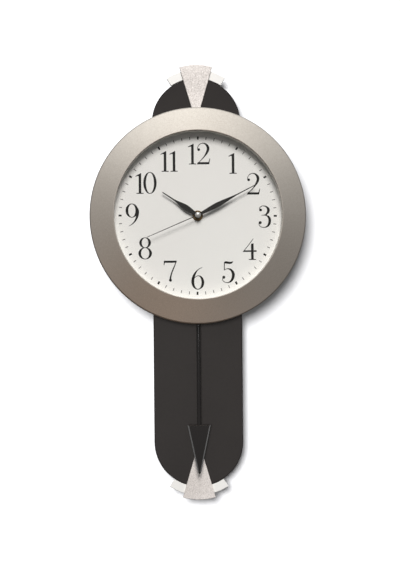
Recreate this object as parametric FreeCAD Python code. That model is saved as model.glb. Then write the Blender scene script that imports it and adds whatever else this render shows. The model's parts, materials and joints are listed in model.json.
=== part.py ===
import FreeCAD, Part
import math
import os

# Pendulum wall clock, in millimetres. +Z is up, the dial faces -Y and the wall is the plane y = 0.
# The layout is centred on the dial, x = z = 0. save() then moves every piece so that the origin is
# at the centre of the round hole in the hanger plate, where the clock hangs.

Vector = FreeCAD.Vector

# Ring and dial
bezel_inner_r = 115.0
bezel_width = 34.0
bezel_outer_r = bezel_inner_r + bezel_width
bezel_slope = 0.366            # rise of the ring's conical face per mm of radius
bezel_wall = 2.4
bezel_edge = 1.3               # bevel round the ring's outside
lip_overlap = 3.5              # how far the ring's lip covers the lens
lip_t = 1.5
lens_t = 2.0
seal_t = 0.5
spacer_depth = 11.5            # clear depth between dial and lens
dial_t = 1.5
dial_margin = 10.5             # how far the dial plate reaches behind the ring
pan_wall = 2.5
pan_inset = 6.5                # the pan's outside lies this far inside the ring's outside

# Backboard and finials
board_width = 124.0
board_height = 570.0
board_t = 9.0
board_above_ring = 45.8
board_edge_r = 1.5
wedge_reach = 80.6
wedge_half_angle = 16.5
wedge_t = 3.0
arc_width = 12.4
arc_half_angle = 33.4
arc_t = 3.0

# Pendulum
rod_r = 2.5
bob_width = 32.3
bob_height = 68.0
bob_t = 7.0
bob_tip_r = 2.2
bob_bevel = 1.6
bob_above_board_end = 18.8
swing_deg = 8.0
pin_r = 1.2
leaf_t = 1.5
leaf_half_width = 5.0

# Movement
movement_width = 58.0
movement_depth = 16.5
movement_top = 32.0
movement_bottom = -34.0
shell_t = 1.5
battery_r = 7.25
battery_length = 50.5
bush_r = 4.0
hour_pipe_r = 2.5
minute_tube_r = 1.5
seconds_arbor_r = 0.6
gear_t = 1.1
level_pitch = 1.9
arbor_r = 0.6
setting_arbor_r = 1.0
knob_r = 6.0

# Hands: angle clockwise from twelve, then lengths from the centre
hour_angle = 303.5
hour_length = 58.0
minute_angle = 62.7
minute_length = 88.0
seconds_angle = 246.9
seconds_length = 76.5
cap_r = 4.0
cap_height = 1.5

# Hanger plate and openings
hanger_z = 100.0
hanger_width = 44.0
hanger_height = 28.0
hanger_t = 1.5
keyhole_r = 4.5
keyhole_slot = 4.5
keyhole_rise = 9.0
pocket_depth = 6.0
window_width = 70.0
window_top = 36.0
window_bottom = -72.0

# Clearances
run_gap = 0.05                 # radial, shafts and pivots
loose_gap = 0.3                # between pieces that only lie beside each other
through_gap = 0.2              # radial, screws through clearance holes
screw_r = 1.45
pilot_r = screw_r + run_gap
clear_r = screw_r + through_gap

# Stack from the wall to the front
board_front = -board_t
pan_floor = board_front - pan_wall
movement_back = pan_floor - 2.0
movement_front = movement_back - movement_depth
washer_t = 1.0
dial_back = movement_front - washer_t
dial_front = dial_back - dial_t
lens_back = dial_front - spacer_depth
lens_front = lens_back - lens_t
seal_front = lens_front - seal_t
bezel_front = seal_front - lip_t
swing_y = movement_front + 10.0
skirt_back = swing_y - rod_r - 2.0

# Radii from the centre of the dial
lens_r = bezel_inner_r + lip_overlap
rebate_r = lens_r + loose_gap
dial_r = bezel_inner_r + dial_margin
pan_outer_r = bezel_outer_r - pan_inset
pan_inner_r = pan_outer_r - pan_wall
post_ring_r = (dial_r + pan_inner_r) / 2
post_r = min(4.0, (pan_inner_r - dial_r) / 2 - loose_gap)

# Heights
board_top = bezel_outer_r + board_above_ring
board_bottom = board_top - board_height
end_r = board_width / 2
top_centre = board_top - end_r
bottom_centre = board_bottom + end_r
bob_tip = board_bottom + bob_above_board_end
bob_top = bob_tip + bob_height
pivot_z = movement_bottom - 7.0
leaf_end = pivot_z - 54.0
stud_z = leaf_end + 6.0
coil_z = pivot_z - 17.0
rod_top = leaf_end - 0.5
rod_end = bob_top - 18.0


# Solids with their axis along Y
def cylinder(r, y0, y1, x=0.0, z=0.0):
    return Part.makeCylinder(r, y1 - y0, Vector(x, y0, z), Vector(0, 1, 0))


def tube(outer, inner, y0, y1, x=0.0, z=0.0):
    return cylinder(outer, y0, y1, x, z).cut(cylinder(inner, y0 - 1, y1 + 1, x, z))


def block(x0, x1, y0, y1, z0, z1):
    return Part.makeBox(x1 - x0, y1 - y0, z1 - z0, Vector(x0, y0, z0))


def turned(profile):
    """Ring turned about the dial's axis from (radius, y) corners."""
    corners = [Vector(r, y, 0) for r, y in profile]
    face = Part.Face(Part.makePolygon(corners + corners[:1]))
    return face.revolve(Vector(0, 0, 0), Vector(0, 1, 0), 360)


def plate(edges, y0, y1):
    """Flat plate between y0 and y1 from outline edges drawn at y = 0."""
    face = Part.Face(Part.Wire(edges))
    face.translate(Vector(0, y0, 0))
    return face.extrude(Vector(0, y1 - y0, 0))


def polygon_plate(points, y0, y1):
    corners = [Vector(x, 0, z) for x, z in points]
    return plate(Part.makePolygon(corners + corners[:1]).Edges, y0, y1)


def front_edges(shape, y):
    """Edges that lie in the plane at y."""
    found = []
    for edge in shape.Edges:
        box = edge.BoundBox
        if abs(box.YMin - y) < 1e-4 and abs(box.YMax - y) < 1e-4:
            found.append(edge)
    return found


def upright_edges(shape):
    """Edges that run along Y."""
    found = []
    for edge in shape.Edges:
        box = edge.BoundBox
        if box.XLength < 1e-4 and box.ZLength < 1e-4:
            found.append(edge)
    return found


def polar(r, degrees, cx=0.0, cz=0.0):
    """Point at an angle from +X towards +Z."""
    a = math.radians(degrees)
    return Vector(cx + r * math.cos(a), 0, cz + r * math.sin(a))


def arc(r, start, end, cx=0.0, cz=0.0):
    middle = (start + end) / 2
    points = [polar(r, a, cx, cz) for a in (start, middle, end)]
    return Part.Arc(*points).toShape()


def screw(x, z, head_y, length, head_r=2.8, head_t=1.6, outward=1):
    """Pan-head screw. outward is +1 when the head faces the wall and -1 when it faces the front."""
    tip_y = head_y - outward * (head_t + length)
    neck_y = head_y - outward * head_t
    shank = cylinder(screw_r, min(tip_y, neck_y), max(tip_y, neck_y), x, z)
    head = cylinder(head_r, min(neck_y, head_y), max(neck_y, head_y), x, z)
    head = head.makeFillet(head_t * 0.45, front_edges(head, head_y))
    slot_y = head_y - outward * head_t * 0.5
    slot = block(x - head_r, x + head_r, min(slot_y, head_y), max(slot_y, head_y), z - 0.4, z + 0.4)
    return shank.fuse(head).cut(slot).removeSplitter()


parts = {}


def save(name, shape):
    parts[name] = shape


def together(solids):
    return Part.Compound(solids)


# ---------------------------------------------------------------- backboard and what is on it

def stadium(half_width, low, high, y0, y1):
    edges = [
        arc(half_width, 0, 180, 0, high),
        Part.LineSegment(Vector(-half_width, 0, high), Vector(-half_width, 0, low)).toShape(),
        arc(half_width, 180, 360, 0, low),
        Part.LineSegment(Vector(half_width, 0, low), Vector(half_width, 0, high)).toShape(),
    ]
    return plate(edges, y0, y1)


window_x = window_width / 2
rail_x = (window_x + end_r) / 2
case_screw_z = (bezel_inner_r + window_x) * 0.62
case_spots = [(x, z) for x in (-rail_x, rail_x) for z in (-case_screw_z, case_screw_z)]
hanger_spots = [(x * hanger_width * 0.36, hanger_z + 4.0) for x in (-1, 1)]
upper_spots = [(0.0, pan_outer_r + 10.0), (0.0, board_top - 14.0)]
lower_spots = [(0.0, bottom_centre - 22.0), (0.0, board_bottom + 14.0)]
finial_screw_length = board_t - 1.6 + wedge_t * 0.6
hanger_screw_length = board_t - hanger_t - 2.0
case_screw_length = board_t - 2.5 + pan_wall


def make_board():
    board = stadium(end_r, bottom_centre, top_centre, board_front, 0)
    board = board.makeFillet(board_edge_r, front_edges(board, board_front))
    window = block(-window_x, window_x, board_front - 1, 1, window_bottom, window_top)
    board = board.cut(window.makeFillet(4.0, upright_edges(window)))
    seat_low = hanger_z + 4.0 - hanger_height / 2
    seat = block(-hanger_width / 2 - loose_gap, hanger_width / 2 + loose_gap, -hanger_t, 1,
                 seat_low - loose_gap, seat_low + hanger_height + loose_gap)
    pocket = block(-keyhole_r - 1.5, keyhole_r + 1.5, -hanger_t - pocket_depth, 1,
                   hanger_z - keyhole_r - 1.5, hanger_z + keyhole_rise + keyhole_r + 1.0)
    board = board.cut(seat).cut(pocket)
    for x, z in case_spots:
        board = board.cut(cylinder(pilot_r, board_front - 1, -1.8, x, z))
    for x, z in hanger_spots:
        board = board.cut(cylinder(pilot_r, -hanger_t - hanger_screw_length, 1, x, z))
    for x, z in upper_spots + lower_spots:
        board = board.cut(cylinder(clear_r, board_front - 1, 1, x, z))
        board = board.cut(cylinder(3.1, -1.9, 1, x, z))
    return board


def make_hanger():
    low = hanger_z + 4.0 - hanger_height / 2
    half = hanger_width / 2
    hanger = block(-half, half, -hanger_t, 0, low, low + hanger_height)
    hanger = hanger.makeFillet(3.0, upright_edges(hanger))
    slot = block(-keyhole_slot / 2, keyhole_slot / 2, -hanger_t - 1, 1,
                 hanger_z, hanger_z + keyhole_rise)
    hanger = hanger.cut(cylinder(keyhole_r, -hanger_t - 1, 1, 0, hanger_z)).cut(slot)
    hanger = hanger.cut(cylinder(keyhole_slot / 2, -hanger_t - 1, 1, 0, hanger_z + keyhole_rise))
    for x, z in hanger_spots:
        hanger = hanger.cut(cylinder(clear_r, -hanger_t - 1, 1, x, z))
        hanger = hanger.cut(Part.makeCone(clear_r, 3.05, hanger_t, Vector(x, -hanger_t, z),
                                          Vector(0, 1, 0)))
    return hanger


def countersunk_screw(x, z):
    """Flat-head wood screw that ends flush with the hanger plate."""
    head = Part.makeCone(screw_r, 2.9, hanger_t, Vector(x, -hanger_t, z), Vector(0, 1, 0))
    shank = cylinder(screw_r, -hanger_t - hanger_screw_length + 0.2, -hanger_t, x, z)
    slot = block(x - 2.9, x + 2.9, -0.6, 0.5, z - 0.4, z + 0.4)
    return shank.fuse(head).cut(slot).removeSplitter()


def make_wedge(centre, side):
    """Sector plate whose point is at the board's end centre. side is +1 at the top."""
    middle = 90.0 * side
    a0 = middle - wedge_half_angle
    a1 = middle + wedge_half_angle
    apex = Vector(0, 0, centre)
    edges = [
        Part.LineSegment(apex, polar(wedge_reach, a0, 0, centre)).toShape(),
        arc(wedge_reach, a0, a1, 0, centre),
        Part.LineSegment(polar(wedge_reach, a1, 0, centre), apex).toShape(),
    ]
    wedge = plate(edges, board_front - wedge_t, board_front)
    wedge = wedge.makeChamfer(0.5, front_edges(wedge, board_front - wedge_t))
    if side > 0:
        wedge = wedge.cut(cylinder(pan_outer_r + loose_gap, -60, 0))
    for x, z in (upper_spots if side > 0 else lower_spots):
        wedge = wedge.cut(cylinder(pilot_r, board_front - wedge_t * 0.75, 0, x, z))
    for x, z in arc_spots(centre, side):
        wedge = wedge.cut(cylinder(pilot_r, board_front - wedge_t * 0.75, 0, x, z))
    return wedge


def arc_spots(centre, side):
    spots = []
    for turn in (-0.62, 0.62):
        spot = polar(end_r + arc_width / 2, 90 * side + turn * wedge_half_angle, 0, centre)
        spots.append((spot.x, spot.z))
    return spots


def make_arc(centre, side):
    """Curved strip behind the wedge, round the board's end."""
    inner = end_r + loose_gap
    outer = end_r + arc_width
    a0 = 90.0 * side - arc_half_angle
    a1 = 90.0 * side + arc_half_angle
    edges = [
        arc(inner, a0, a1, 0, centre),
        Part.LineSegment(polar(inner, a1, 0, centre), polar(outer, a1, 0, centre)).toShape(),
        arc(outer, a1, a0, 0, centre),
        Part.LineSegment(polar(outer, a0, 0, centre), polar(inner, a0, 0, centre)).toShape(),
    ]
    strip = plate(edges, board_front, board_front + arc_t)
    strip = strip.makeChamfer(0.4, front_edges(strip, board_front))
    for x, z in arc_spots(centre, side):
        strip = strip.cut(cylinder(clear_r, board_front - 1, 0, x, z))
    return strip


save("backboard", make_board())
save("hanger_plate", make_hanger())
save("hanger_screws", together([countersunk_screw(x, z) for x, z in hanger_spots]))
save("upper_finial_wedge", make_wedge(top_centre, 1))
save("lower_finial_wedge", make_wedge(bottom_centre, -1))
save("upper_finial_arc", make_arc(top_centre, 1))
save("lower_finial_arc", make_arc(bottom_centre, -1))
save("finial_screws", together([screw(x, z, -0.2, finial_screw_length)
                                for x, z in upper_spots + lower_spots]))
arc_screw_spots = arc_spots(top_centre, 1) + arc_spots(bottom_centre, -1)
save("finial_arc_screws", together([screw(x, z, board_front + arc_t + 1.2, arc_t + wedge_t * 0.6,
                                          2.4, 1.2)
                                    for x, z in arc_screw_spots]))


# ---------------------------------------------------------------- pan, ring, lens and dial

post_spots = [(p.x, p.z) for p in (polar(post_ring_r, a) for a in (45, 135, 225, 315))]
pivot_to_rim = pan_outer_r + pivot_z
slot_half = math.tan(math.radians(swing_deg)) * pivot_to_rim + rod_r + 3.0
bezel_under = bezel_front + bezel_wall + 0.2


def under_ring(r):
    """y of the underside of the ring's conical face."""
    return bezel_under + (r - bezel_inner_r) * bezel_slope


post_front = dial_back - 0.5
wall_front = under_ring(pan_outer_r) + loose_gap


def make_pan():
    pan = cylinder(pan_outer_r, pan_floor, board_front)
    pan = pan.fuse(tube(pan_outer_r, pan_inner_r, wall_front, board_front))
    pan = pan.fuse(tube(dial_r, dial_r - 3.0, dial_back, board_front))
    for x, z in post_spots:
        pan = pan.fuse(cylinder(post_r, post_front, board_front, x, z))
    window = block(-window_x, window_x, pan_floor - 1, 1, window_bottom, window_top)
    pan = pan.cut(window.makeFillet(4.0, upright_edges(window)))
    pan = pan.cut(block(-slot_half, slot_half, swing_y - rod_r - 3.0, swing_y + rod_r + 3.0,
                        -pan_outer_r - 1, -dial_r + 6.0))
    for x, z in post_spots:
        pan = pan.cut(cylinder(clear_r, post_front - 1, 0, x, z))
        pan = pan.cut(cylinder(3.1, board_front - 1.9, 0, x, z))
    for x, z in case_spots:
        pan = pan.cut(cylinder(clear_r, pan_floor - 1, 0, x, z))
    return pan.removeSplitter()


def make_bezel():
    shoulder_r = bezel_outer_r - bezel_edge
    skirt_r = bezel_outer_r - bezel_wall
    rib_r = rebate_r + 2.3
    face_y = bezel_front + (shoulder_r - bezel_inner_r) * bezel_slope
    profile = [
        (bezel_inner_r, bezel_front),
        (shoulder_r, face_y),
        (bezel_outer_r, face_y + bezel_edge * 1.2),
        (bezel_outer_r, skirt_back),
        (skirt_r, skirt_back),
        (skirt_r, under_ring(skirt_r)),
        (rib_r, under_ring(rib_r)),
        (rib_r, lens_back + 1.5),
        (rebate_r, lens_back + 1.5),
        (rebate_r, seal_front),
        (bezel_inner_r, seal_front),
    ]
    bezel = turned(profile)
    sharp = []
    for edge in bezel.Edges:
        box = edge.BoundBox
        if box.YLength < 1e-4 and box.YMin < face_y + 2:
            if min(abs(box.XMax - r) for r in (bezel_inner_r, shoulder_r, bezel_outer_r)) < 0.01:
                if abs(box.YMin - seal_front) > 1e-4:
                    sharp.append(edge)
    bezel = bezel.makeFillet(0.9, sharp)
    for x, z in post_spots:
        boss = cylinder(post_r, under_ring(post_ring_r) - 1.0, post_front - loose_gap, x, z)
        bezel = bezel.fuse(boss)
        bezel = bezel.cut(cylinder(pilot_r, post_front - 6.5, 0, x, z))
    return bezel.removeSplitter()


save("dial_case", make_pan())
save("case_screws", together([screw(x, z, pan_floor - 1.6, case_screw_length, outward=-1)
                              for x, z in case_spots]))
save("bezel", make_bezel())
save("bezel_screws", together([screw(x, z, board_front - 0.2,
                                     board_front - 1.8 - post_front + 5.8)
                               for x, z in post_spots]))
save("lens_seal", tube(lens_r, bezel_inner_r, seal_front, lens_front))
save("lens", cylinder(lens_r, lens_front, lens_back))
save("spacer_ring", tube(lens_r, bezel_inner_r, lens_back, dial_front))
save("dial_plate", tube(dial_r, bush_r + loose_gap, dial_front, dial_back))


# ---------------------------------------------------------------- gear train

def gear(teeth, module, level, x, z, tooth_at, bore):
    """Spur gear at one of the train's levels, with a tooth at the given angle."""
    pitch = 360.0 / teeth
    root = module * (teeth / 2 - 1.15)
    tip = module * (teeth / 2 + 0.8)
    corners = []
    for i in range(teeth):
        for r, share in ((root, -0.27), (tip, -0.10), (tip, 0.10), (root, 0.27)):
            p = polar(r, tooth_at + (i + share) * pitch, x, z)
            corners.append((p.x, p.z))
    y0 = level_y(level)
    body = polygon_plate(corners, y0, y0 + gear_t)
    if bore > 0:
        body = body.cut(cylinder(bore, y0 - 1, y0 + gear_t + 1, x, z))
    return body


def level_y(level):
    return movement_front + shell_t + 0.4 + level_pitch * level


train_gap = 11.0
setting_gap = 12.0
rotor_gap = 7.2
third_x = -train_gap
setting_x = setting_gap
middle_z = train_gap
rotor_z = middle_z + rotor_gap
pivot_front = movement_front + shell_t - 1.0
pivot_back = movement_back - shell_t + 1.0


def module_for(gap, teeth_a, teeth_b):
    return 2.0 * gap / (teeth_a + teeth_b)


setting_module = module_for(setting_gap, 12, 36)
hour_module = module_for(setting_gap, 10, 40)
third_module = module_for(train_gap, 8, 60)
centre_module = module_for(train_gap, 8, 64)
middle_module = module_for(train_gap, 8, 48)
rotor_module = module_for(rotor_gap, 8, 40)

hour_pipe_front = dial_front - 5.3
minute_tube_front = hour_pipe_front - 2.2
seconds_arbor_front = minute_tube_front - 1.2
minute_bore = seconds_arbor_r + run_gap
hour_bore = minute_tube_r + run_gap


def make_hour_wheel():
    wheel = gear(40, hour_module, 0, 0, 0, 0.0, hour_bore)
    pipe = tube(hour_pipe_r, hour_bore, hour_pipe_front, level_y(0) + gear_t)
    return wheel.fuse(pipe).removeSplitter()


def make_minute_arbor():
    pinion = gear(12, setting_module, 1, 0, 0, 0.0, minute_bore)
    pipe = tube(minute_tube_r, minute_bore, minute_tube_front, level_y(2) + gear_t + 0.3)
    return pinion.fuse(pipe).removeSplitter()


def make_minute_wheel():
    wheel = gear(36, setting_module, 1, setting_x, 0, 180 + 180.0 / 36, 0)
    pinion = gear(10, hour_module, 0, setting_x, 0, 180 + 180.0 / 10, 0)
    arbor = cylinder(setting_arbor_r, pivot_front, movement_back + 3.2, setting_x, 0)
    join = cylinder(setting_arbor_r + 0.4, level_y(0), level_y(1) + gear_t, setting_x, 0)
    return wheel.fuse(pinion).fuse(arbor).fuse(join).removeSplitter()


def make_centre_wheel():
    return gear(64, centre_module, 2, 0, 0, 180.0, hour_bore)


def make_third_wheel():
    pinion = gear(8, centre_module, 2, third_x, 0, 180.0 / 8, 0)
    wheel = gear(60, third_module, 3, third_x, 0, 0.0, 0)
    arbor = cylinder(arbor_r, pivot_front, pivot_back, third_x, 0)
    return wheel.fuse(pinion).fuse(arbor).removeSplitter()


def make_seconds_arbor():
    pinion = gear(8, third_module, 3, 0, 0, 180 + 180.0 / 8, 0)
    wheel = gear(48, middle_module, 4, 0, 0, 90.0, 0)
    arbor = cylinder(seconds_arbor_r, seconds_arbor_front, pivot_back)
    return wheel.fuse(pinion).fuse(arbor).removeSplitter()


def make_intermediate_wheel():
    pinion = gear(8, middle_module, 4, 0, middle_z, -90 + 180.0 / 8, 0)
    wheel = gear(40, rotor_module, 5, 0, middle_z, 90.0, 0)
    arbor = cylinder(arbor_r, pivot_front, pivot_back, 0, middle_z)
    return wheel.fuse(pinion).fuse(arbor).removeSplitter()


def make_rotor():
    pinion = gear(8, rotor_module, 5, 0, rotor_z, -90 + 180.0 / 8, 0)
    magnet = cylinder(3.0, level_y(3) - 1.2, level_y(3) + 1.8, 0, rotor_z)
    arbor = cylinder(arbor_r, pivot_front, pivot_back, 0, rotor_z)
    return magnet.fuse(pinion).fuse(arbor).removeSplitter()


save("hour_wheel", make_hour_wheel())
save("minute_arbor", make_minute_arbor())
save("minute_wheel", make_minute_wheel())
save("centre_wheel", make_centre_wheel())
save("third_wheel", make_third_wheel())
save("seconds_arbor", make_seconds_arbor())
save("intermediate_wheel", make_intermediate_wheel())
save("motor_rotor", make_rotor())


def make_knob():
    knob_front = movement_back + 0.4
    knob = cylinder(knob_r, knob_front, knob_front + 2.8, setting_x, 0)
    knob = knob.makeChamfer(0.4, front_edges(knob, knob_front + 2.8))
    for i in range(16):
        p = polar(knob_r + 0.35, i * 22.5, setting_x, 0)
        knob = knob.cut(cylinder(0.8, knob_front - 1, knob_front + 5, p.x, p.z))
    return knob.cut(cylinder(setting_arbor_r + 0.02, knob_front - 1, movement_back + 3.3,
                             setting_x, 0))


save("setting_knob", make_knob())


# ---------------------------------------------------------------- movement case and motor

half_case = movement_width / 2
inner_half = half_case - shell_t
split_y = movement_front + 8.0
inner_front = movement_front + shell_t
inner_back = movement_back - shell_t
inner_top = movement_top - shell_t
inner_bottom = movement_bottom + shell_t
battery_z = inner_bottom + battery_r + 0.5
battery_y = inner_front + battery_r + 0.2
bay_top = battery_z + battery_r + 0.6
stator_y = level_y(3) - 0.6
stator_t = 1.5
stator_reach = 20.0
coil_bar_z = rotor_z + 8.2


def pivot_holes(shape, end_y, depth):
    """Blind pivot holes for the train's arbors in one case wall."""
    y0 = min(end_y, end_y + depth)
    y1 = max(end_y, end_y + depth)
    for x, z, r in ((third_x, 0, arbor_r), (0, middle_z, arbor_r), (0, rotor_z, arbor_r),
                    (setting_x, 0, setting_arbor_r)):
        shape = shape.cut(cylinder(r + run_gap, y0, y1, x, z))
    return shape


def make_case_front():
    case = block(-half_case, half_case, movement_front, split_y, movement_bottom, movement_top)
    case = case.makeFillet(3.0, upright_edges(case))
    case = case.cut(block(-inner_half, inner_half, inner_front, split_y + 1,
                          inner_bottom, inner_top))
    case = case.fuse(block(-inner_half - 0.5, inner_half + 0.5, inner_front - 0.5, split_y,
                           bay_top, bay_top + 1.2))
    case = case.fuse(block(-6, 6, movement_front, inner_front, pivot_z - 5, movement_bottom + 1))
    case = case.cut(cylinder(bush_r + run_gap, movement_front - 1, inner_front + 1))
    case = case.cut(cylinder(pin_r + 0.02, movement_front - 1, inner_front + 1, 0, pivot_z))
    return pivot_holes(case, pivot_front - 0.1, shell_t).removeSplitter()


def make_case_back():
    case = block(-half_case, half_case, split_y, movement_back, movement_bottom, movement_top)
    case = case.makeFillet(3.0, upright_edges(case))
    case = case.cut(block(-inner_half, inner_half, split_y - 1, inner_back,
                          inner_bottom, inner_top))
    case = case.fuse(block(-inner_half - 0.5, inner_half + 0.5, split_y, inner_back + 0.5,
                           bay_top, bay_top + 1.2))
    case = case.cut(block(-inner_half + 0.8, inner_half - 0.8, inner_back - 1, movement_back + 1,
                          inner_bottom + 0.4, bay_top - 0.4))
    case = case.fuse(block(-11, 11, inner_back, movement_back, coil_z - 10, movement_bottom + 1))
    for x in (-stator_reach + 2, stator_reach - 2):
        case = case.fuse(cylinder(2.0, stator_y + stator_t, inner_back + 0.5, x, rotor_z))
    case = case.cut(cylinder(pin_r + 0.02, inner_back - 1, movement_back + 1, 0, pivot_z))
    case = case.cut(cylinder(seconds_arbor_r + run_gap, inner_back - 1, pivot_back + 0.1))
    case = case.cut(cylinder(setting_arbor_r + run_gap, inner_back - 1, movement_back + 1,
                             setting_x, 0))
    return pivot_holes(case, pivot_back + 0.1, -shell_t).removeSplitter()


save("movement_case_front", make_case_front())
save("movement_case_back", make_case_back())
save("movement_washer", tube(11.0, 6.2, dial_back, movement_front))


def make_bush():
    bush = cylinder(bush_r, dial_front - 3.2, inner_front)
    flange = cylinder(6.0, movement_front - 0.8, movement_front)
    return bush.fuse(flange).cut(cylinder(hour_pipe_r + run_gap, dial_front - 5, 0)).removeSplitter()


def make_nut():
    corners = [polar(6.9, a) for a in range(0, 360, 60)]
    nut = polygon_plate([(c.x, c.z) for c in corners], dial_front - 2.7, dial_front - 0.5)
    return nut.cut(cylinder(bush_r + run_gap, dial_front - 5, 0))


save("centre_bush", make_bush())
save("bush_nut", make_nut())
save("bush_washer", tube(7.2, bush_r + run_gap, dial_front - 0.5, dial_front))


def make_stator():
    reach = stator_reach
    low = rotor_z - 4.4
    high = rotor_z + 4.4
    leg_top = coil_bar_z + 3.0
    body = block(-reach, reach, stator_y, stator_y + stator_t, low, high)
    for side in (-1, 1):
        x0 = min(side * reach, side * (reach - 4))
        body = body.fuse(block(x0, x0 + 4, stator_y, stator_y + stator_t, low, leg_top))
    return body.cut(cylinder(3.4, stator_y - 1, stator_y + stator_t + 1, 0, rotor_z)).removeSplitter()


def make_motor_coil():
    half = stator_reach - 4.0
    y = stator_y + stator_t / 2
    turns = Part.makeCylinder(2.7, 2 * half - 3, Vector(-half + 1.5, y, coil_bar_z), Vector(1, 0, 0))
    for x0 in (-half, half - 1.5):
        flange = Part.makeCylinder(3.3, 1.5, Vector(x0, y, coil_bar_z), Vector(1, 0, 0))
        turns = turns.fuse(flange)
    return turns.removeSplitter()


def make_circuit_board():
    left = -inner_half + 1.0
    right = third_x - arbor_r - 1.0
    pcb = block(left, right, inner_front, inner_front + 0.8, -10.0, inner_top - 1.0)
    chip = block(left + 3, left + 9, inner_front + 0.8, inner_front + 1.9, 14.0, 20.0)
    return pcb.fuse(chip).removeSplitter()


save("motor_stator", make_stator())
save("motor_coil", make_motor_coil())
save("circuit_board", make_circuit_board())
crystal_start = Vector(-inner_half + 6.0, inner_front + 1.8, 2.0)
save("quartz_crystal", Part.makeCylinder(1.0, 6.0, crystal_start, Vector(0, 0, 1)))


def make_battery():
    half = battery_length / 2
    start = Vector(-half, battery_y, battery_z)
    can = Part.makeCylinder(battery_r, battery_length - 1.4, start, Vector(1, 0, 0))
    nub_start = Vector(half - 1.5, battery_y, battery_z)
    nub = Part.makeCylinder(2.7, 1.5, nub_start, Vector(1, 0, 0))
    return can.fuse(nub).removeSplitter()


def make_contact(side):
    x = side * battery_length / 2
    wide = block(min(x, x + side * 0.5), max(x, x + side * 0.5), battery_y - 5, battery_y + 5,
                 battery_z - 5, battery_z + 5)
    foot = block(min(x, side * inner_half), max(x, side * inner_half), battery_y - 3,
                 battery_y + 3, battery_z + 4.5, battery_z + 5)
    return wide.fuse(foot).removeSplitter()


save("battery", make_battery())
save("battery_contacts", together([make_contact(-1), make_contact(1)]))


# ---------------------------------------------------------------- hands

def hand_outline(length, leaf_start, leaf_mid, leaf_end, leaf_width, tip_width, root_width):
    """Closed outline of a leaf hand that points to +Z."""
    half = leaf_width / 2
    right = [
        Vector(root_width / 2, 0, leaf_start),
        Vector(half * 0.78, 0, leaf_start + (leaf_mid - leaf_start) * 0.45),
        Vector(half, 0, leaf_mid),
        Vector(half * 0.62, 0, leaf_mid + (leaf_end - leaf_mid) * 0.5),
        Vector(tip_width / 2, 0, leaf_end),
    ]
    left = [Vector(-p.x, 0, p.z) for p in reversed(right)]
    side_a = Part.BSplineCurve()
    side_a.interpolate(right)
    side_b = Part.BSplineCurve()
    side_b.interpolate(left)
    tip_right = Vector(tip_width * 0.35, 0, length)
    tip_left = Vector(-tip_width * 0.35, 0, length)
    corners = [right[-1], tip_right, tip_left, left[0]]
    needle = [Part.LineSegment(a, b).toShape() for a, b in zip(corners, corners[1:])]
    heel = Part.LineSegment(left[-1], right[0]).toShape()
    return [side_a.toShape()] + needle + [side_b.toShape(), heel]


def leaf_hand(angle, outline, blade_front, blade_t, collet_r, collet_back, bore):
    blade = plate(outline, blade_front, blade_front + blade_t)
    collet = cylinder(collet_r, blade_front, collet_back)
    hand = blade.fuse(collet).cut(cylinder(bore + 0.02, blade_front - 1, collet_back + 1))
    hand.rotate(Vector(0, 0, 0), Vector(0, 1, 0), angle)
    return hand.removeSplitter()


hour_outline = hand_outline(hour_length, 2.6, 19.0, 40.0, 7.6, 1.9, 4.2)
minute_outline = hand_outline(minute_length, 1.7, 30.0, 62.0, 6.6, 1.5, 3.4)
hour_hand_front = hour_pipe_front + 0.4
minute_hand_front = minute_tube_front + 0.4
seconds_hand_front = seconds_arbor_front + 0.2
save("hour_hand", leaf_hand(hour_angle, hour_outline, hour_hand_front, 0.6, 3.7,
                            hour_hand_front + 1.6, hour_pipe_r))
save("minute_hand", leaf_hand(minute_angle, minute_outline, minute_hand_front, 0.5, 2.8,
                              minute_hand_front + 1.2, minute_tube_r))


def make_seconds_hand():
    needle = polygon_plate([(0.6, 0), (0.4, seconds_length), (-0.4, seconds_length), (-0.6, 0)],
                           seconds_hand_front, seconds_hand_front + 0.3)
    collet = cylinder(1.4, seconds_hand_front, seconds_hand_front + 0.9)
    hand = needle.fuse(collet)
    hand = hand.cut(cylinder(seconds_arbor_r + 0.02, seconds_hand_front - 1, seconds_hand_front + 2))
    hand.rotate(Vector(0, 0, 0), Vector(0, 1, 0), seconds_angle)
    return hand.removeSplitter()


def make_cap():
    """Domed cap with its rim on the seconds hand."""
    dome_r = (cap_r * cap_r + cap_height * cap_height) / (2 * cap_height)
    centre = Vector(0, seconds_hand_front - cap_height + dome_r, 0)
    dome = Part.makeSphere(dome_r, centre)
    cap = dome.common(cylinder(cap_r + 1, seconds_hand_front - cap_height - 1, seconds_hand_front))
    return cap.cut(cylinder(seconds_arbor_r + 0.02, seconds_arbor_front - 0.05, 0))


save("seconds_hand", make_seconds_hand())
save("seconds_cap", make_cap())


# ---------------------------------------------------------------- pendulum

leaf_front = swing_y - leaf_t
tongue_front = swing_y + 0.1
coil_front = inner_back - 2.0


def make_pendulum_hanger():
    hub = cylinder(pin_r + 1.4, inner_front + loose_gap, inner_back - loose_gap, 0, pivot_z)
    leaf = block(-leaf_half_width, leaf_half_width, leaf_front, swing_y, leaf_end, pivot_z)
    body = hub.fuse(leaf)
    body = body.cut(cylinder(pin_r + run_gap, inner_front - 1, inner_back + 1, 0, pivot_z))
    body = body.cut(cylinder(2.9, leaf_front - 1, swing_y + 1, 0, stud_z + 5.0))
    body = body.cut(cylinder(1.5, leaf_front - 1, swing_y + 1, 0, stud_z))
    body = body.cut(block(-1.5, 1.5, leaf_front - 1, swing_y + 1, stud_z, stud_z + 5.0))
    return body.removeSplitter()


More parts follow.
